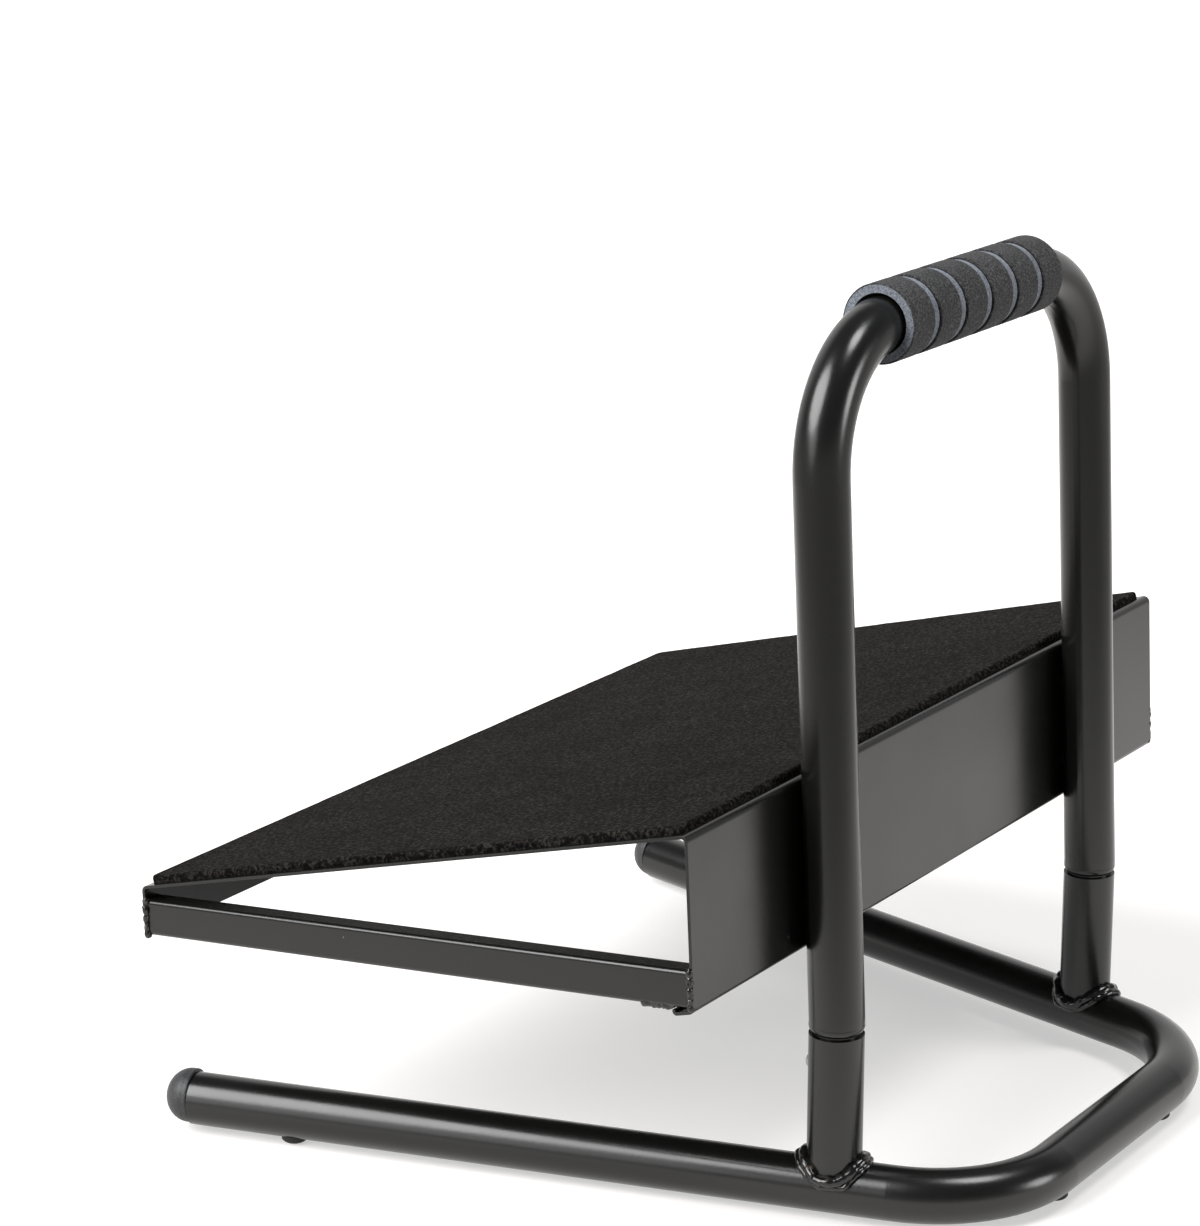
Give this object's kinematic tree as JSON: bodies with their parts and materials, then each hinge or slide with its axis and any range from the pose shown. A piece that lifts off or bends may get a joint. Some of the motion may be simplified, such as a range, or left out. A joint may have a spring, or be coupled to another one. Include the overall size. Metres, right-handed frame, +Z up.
{
  "type": "under-desk footrest",
  "caption": "Free-standing under-desk footrest: sloping steel plate with a soft mat on a lift-off frame with a foam-gripped carrying handle.",
  "frame": {"origin": "on the floor, midway between the sides and midway between the front bar and the rear caps", "axes": "+Z up, -Y towards the toes and the handle, +Y towards the heels, +X to the right of a person seen from the front"},
  "size_m": [0.4574, 0.4082, 0.4203],
  "materials": {
    "powder_coat": "satin black powder coat, fine orange peel",
    "weld_bead": "glossy black coat over a lumpy weld bead",
    "foam": "matt charcoal closed-cell foam, lighter in the cut grooves and ends",
    "mat_foam": "matt black fine-grained foam",
    "cap_plastic": "matt dark grey moulded plastic",
    "foot_rubber": "matt black rubber",
    "bare_steel": "plain zinc-plated steel",
    "spring_steel": "oiled spring steel"
  },
  "bodies": {
    "base": {"base_tube": "powder_coat", "socket_left": "powder_coat", "socket_right": "powder_coat", "socket_weld_left": "weld_bead", "socket_weld_right": "weld_bead", "end_cap_left": "cap_plastic", "end_cap_right": "cap_plastic", "foot_front_left": "foot_rubber", "foot_front_right": "foot_rubber", "foot_rear_left": "foot_rubber", "foot_rear_right": "foot_rubber"},
    "upper_frame": {"handle_tube": "powder_coat", "foam_grip": "foam", "footplate": "powder_coat", "mat": "mat_foam", "plate_screws": "bare_steel", "plate_washers": "bare_steel", "rivet_nuts": "bare_steel", "strut_left": "powder_coat", "strut_right": "powder_coat", "strut_welds_left": "weld_bead", "strut_welds_right": "weld_bead", "snap_spring_left": "spring_steel", "snap_spring_right": "spring_steel"},
    "button_left": {"snap_button_left": "bare_steel"},
    "button_right": {"snap_button_right": "bare_steel"}
  },
  "joints": [
    {"name": "upper_frame_lift", "type": "slide", "parent": "base", "child": "upper_frame", "axis": [0, 0, 1], "range_m": [0, 0.12]},
    {"name": "snap_button_left_press", "type": "slide", "parent": "upper_frame", "child": "button_left", "axis": [0.2521, -0.9677, 0], "range_m": [0, 0.003], "stiffness_N_per_m": 1500, "springref_m": -0.002, "deforming": ["snap_spring_left"]},
    {"name": "snap_button_right_press", "type": "slide", "parent": "upper_frame", "child": "button_right", "axis": [-0.2521, -0.9677, 0], "range_m": [0, 0.003], "stiffness_N_per_m": 1500, "springref_m": -0.002, "deforming": ["snap_spring_right"]}
  ]
}
